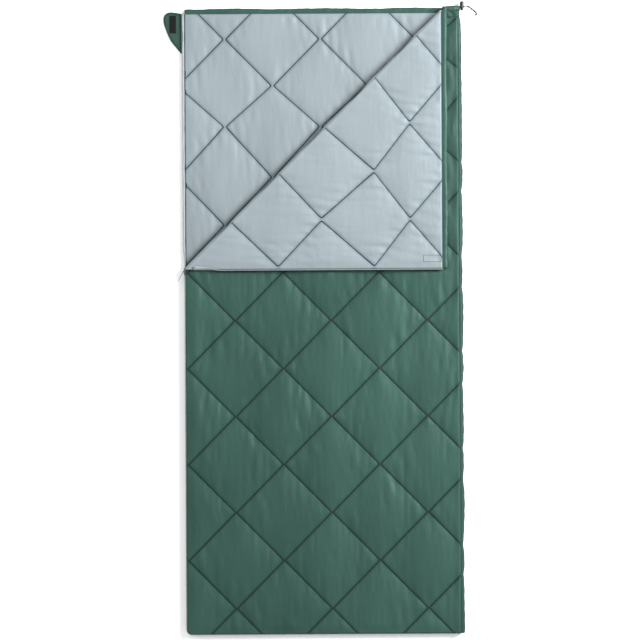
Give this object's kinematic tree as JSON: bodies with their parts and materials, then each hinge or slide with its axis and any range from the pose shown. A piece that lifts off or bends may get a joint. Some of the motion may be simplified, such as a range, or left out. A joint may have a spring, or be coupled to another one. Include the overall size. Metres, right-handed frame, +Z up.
{
  "type": "rectangular sleeping bag",
  "caption": "Rectangular quilted sleeping bag lying flat, side zip run part way down, upper corner folded back on a diagonal crease to show the lining, with closure tab and corded head hem.",
  "frame": {"origin": "on the floor under the middle of the bag's plan, in the underside of the base layer", "axes": "+X from the zip side to the folded side, +Y from the foot to the head, +Z up from the floor"},
  "size_m": [0.9583, 1.927, 0.0494],
  "materials": {
    "shell_cloth": "satin woven polyester, deep green",
    "lining_cloth": "smooth woven polyester, light blue grey",
    "filling": "soft white polyester wadding",
    "thread": "dark sewing thread",
    "zip_tape": "woven light grey tape",
    "zip_coil": "light grey nylon coil",
    "zip_metal": "satin nickel-grey metal",
    "hook_and_loop": "matt black hook and loop tape",
    "lock_plastic": "black moulded plastic",
    "drawcord": "black braided cord"
  },
  "bodies": {
    "base_layer": {"base_shell": "shell_cloth", "base_fill": "filling", "base_lining": "lining_cloth", "base_quilt_thread": "thread", "base_head_hem": "shell_cloth", "base_drawcord": "drawcord", "base_zip_tape": "zip_tape", "base_zip_coil": "zip_coil", "base_zip_top_stop": "zip_metal", "zip_end_stop": "zip_metal", "side_fold_shell": "shell_cloth", "side_fold_fill": "filling", "side_fold_lining": "lining_cloth", "corner_hem": "shell_cloth", "corner_panel": "shell_cloth", "corner_drawcord": "drawcord", "tab_root": "shell_cloth", "drawcord_tail_upper": "drawcord", "drawcord_tail_lower": "drawcord", "cord_end": "lock_plastic"},
    "cover": {"cover_shell": "shell_cloth", "cover_fill": "filling", "cover_lining": "lining_cloth", "cover_quilt_thread": "thread", "cover_zip_tape": "zip_tape", "cover_zip_coil": "zip_coil"},
    "corner_flap": {"flap_shell": "shell_cloth", "flap_fill": "filling", "flap_lining": "lining_cloth", "flap_quilt_thread": "thread", "flap_head_hem": "shell_cloth", "flap_drawcord": "drawcord", "flap_zip_tape": "zip_tape", "flap_zip_coil": "zip_coil", "flap_zip_top_stop": "zip_metal", "loop_patch": "hook_and_loop", "loop_patch_stitching": "thread"},
    "slider": {"zip_slider": "zip_metal"},
    "outer_pull": {"pull_outer": "zip_metal"},
    "inner_pull": {"pull_inner": "zip_metal"},
    "closure_tab": {"tab_cloth": "shell_cloth", "tab_stitching": "thread", "hook_patch": "hook_and_loop"},
    "cord_lock": {"cord_lock_barrel": "lock_plastic", "cord_lock_spring": "zip_metal"},
    "lock_button": {"cord_lock_button": "lock_plastic"}
  },
  "joints": [
    {"name": "cover_fold", "type": "hinge", "parent": "base_layer", "child": "cover", "pos_m": [0.4225, 0, 0.016], "axis": [0, 1, 0], "range_deg": [0, 180], "deforming": ["side_fold_shell", "side_fold_fill", "side_fold_lining"]},
    {"name": "corner_fold", "type": "hinge", "parent": "cover", "child": "corner_flap", "pos_m": [-0.0235, 0.5545, 0.033], "axis": [-0.7071, -0.7071, 0], "range_deg": [0, 180]},
    {"name": "zip_travel", "type": "slide", "parent": "base_layer", "child": "slider", "axis": [0, 1, 0], "range_m": [-1.07, 0.77]},
    {"name": "outer_pull_swing", "type": "hinge", "parent": "slider", "child": "outer_pull", "pos_m": [-0.43, 0.15075, 0.016], "axis": [0, 0, -1], "range_deg": [-28, 150]},
    {"name": "inner_pull_swing", "type": "hinge", "parent": "slider", "child": "inner_pull", "pos_m": [-0.4179, 0.15075, 0.016], "axis": [0, 0, 1], "range_deg": [0, 180]},
    {"name": "tab_turn", "type": "hinge", "parent": "base_layer", "child": "closure_tab", "pos_m": [-0.4315, 0.88, 0.02], "axis": [0, 1, 0], "range_deg": [0, 180], "deforming": ["tab_root"]},
    {"name": "lock_slide", "type": "slide", "parent": "base_layer", "child": "cord_lock", "axis": [1, 0, 0], "range_m": [0, 0.006]},
    {"name": "button_press", "type": "slide", "parent": "cord_lock", "child": "lock_button", "axis": [0, 1, 0], "range_m": [0, 0.004], "stiffness_N_per_m": 800, "springref_m": -0.004, "deforming": ["cord_lock_spring"]}
  ]
}
